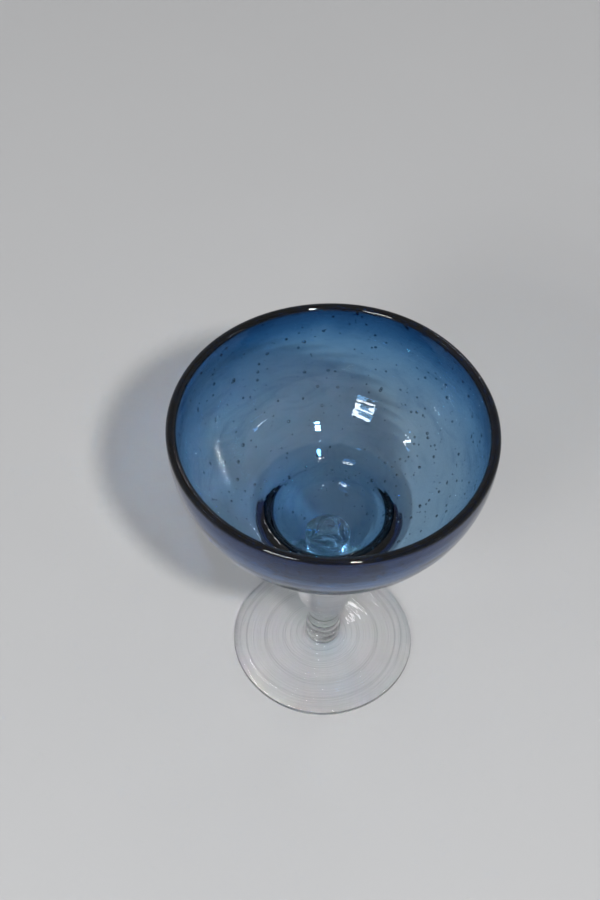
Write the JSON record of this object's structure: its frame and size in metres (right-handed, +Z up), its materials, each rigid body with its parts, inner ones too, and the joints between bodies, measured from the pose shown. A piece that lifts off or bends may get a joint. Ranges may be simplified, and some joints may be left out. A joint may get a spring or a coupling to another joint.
{
  "type": "stemmed drinking glass",
  "caption": "Hand-blown stemmed glass: a wide seeded blue bowl with a small well in its bottom, on a short clear stem and a round clear foot",
  "frame": {"origin": "centre of the foot's flat resting ring, on the surface that the glass stands on", "axes": "+Z up the stem to the rim; the glass is a body of revolution about Z, so X and Y are free"},
  "size_m": [0.1138, 0.1138, 0.1314],
  "materials": {
    "blue_glass": "fire-polished, seeded with small bubbles",
    "clear_glass": "fire-polished, with faint tooling rings"
  },
  "bodies": {
    "root": {"bowl": "blue_glass", "stem": "clear_glass", "collar": "clear_glass", "foot": "clear_glass"}
  },
  "joints": []
}
